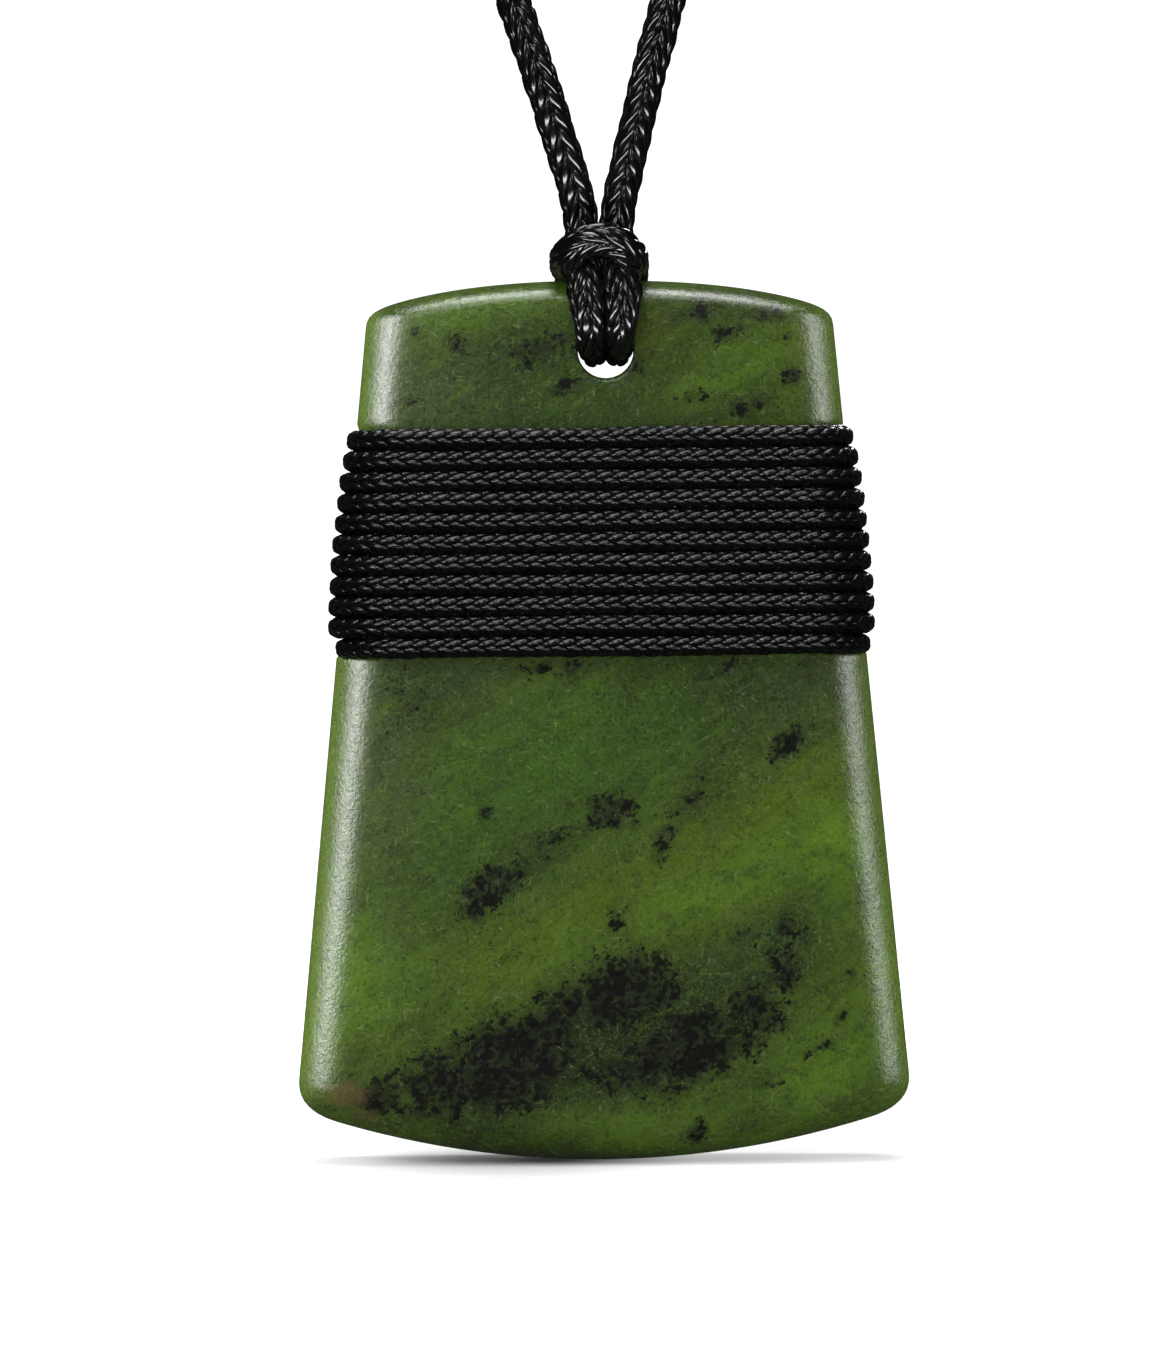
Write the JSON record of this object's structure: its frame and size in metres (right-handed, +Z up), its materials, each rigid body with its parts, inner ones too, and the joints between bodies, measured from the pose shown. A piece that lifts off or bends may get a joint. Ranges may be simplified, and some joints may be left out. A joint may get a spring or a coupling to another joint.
{
  "type": "stone blade pendant necklace",
  "caption": "Polished green stone blade lashed with thin black cord and hung by a lark's head hitch on a thick braided black neck cord.",
  "frame": {"origin": "nape of the wearer's neck, in the middle of the closing knot", "axes": "+Z up, -Y forward to the pendant's front, +X to the viewer's right of the front"},
  "size_m": [0.1258, 0.1384, 0.3037],
  "materials": {
    "stone": "polished",
    "lashing_cord": "waxed",
    "neck_cord": "waxed"
  },
  "bodies": {
    "root": {"stone_blade": "stone", "lashing": "lashing_cord", "neck_cord": "neck_cord", "closing_knot": "neck_cord"}
  },
  "joints": []
}
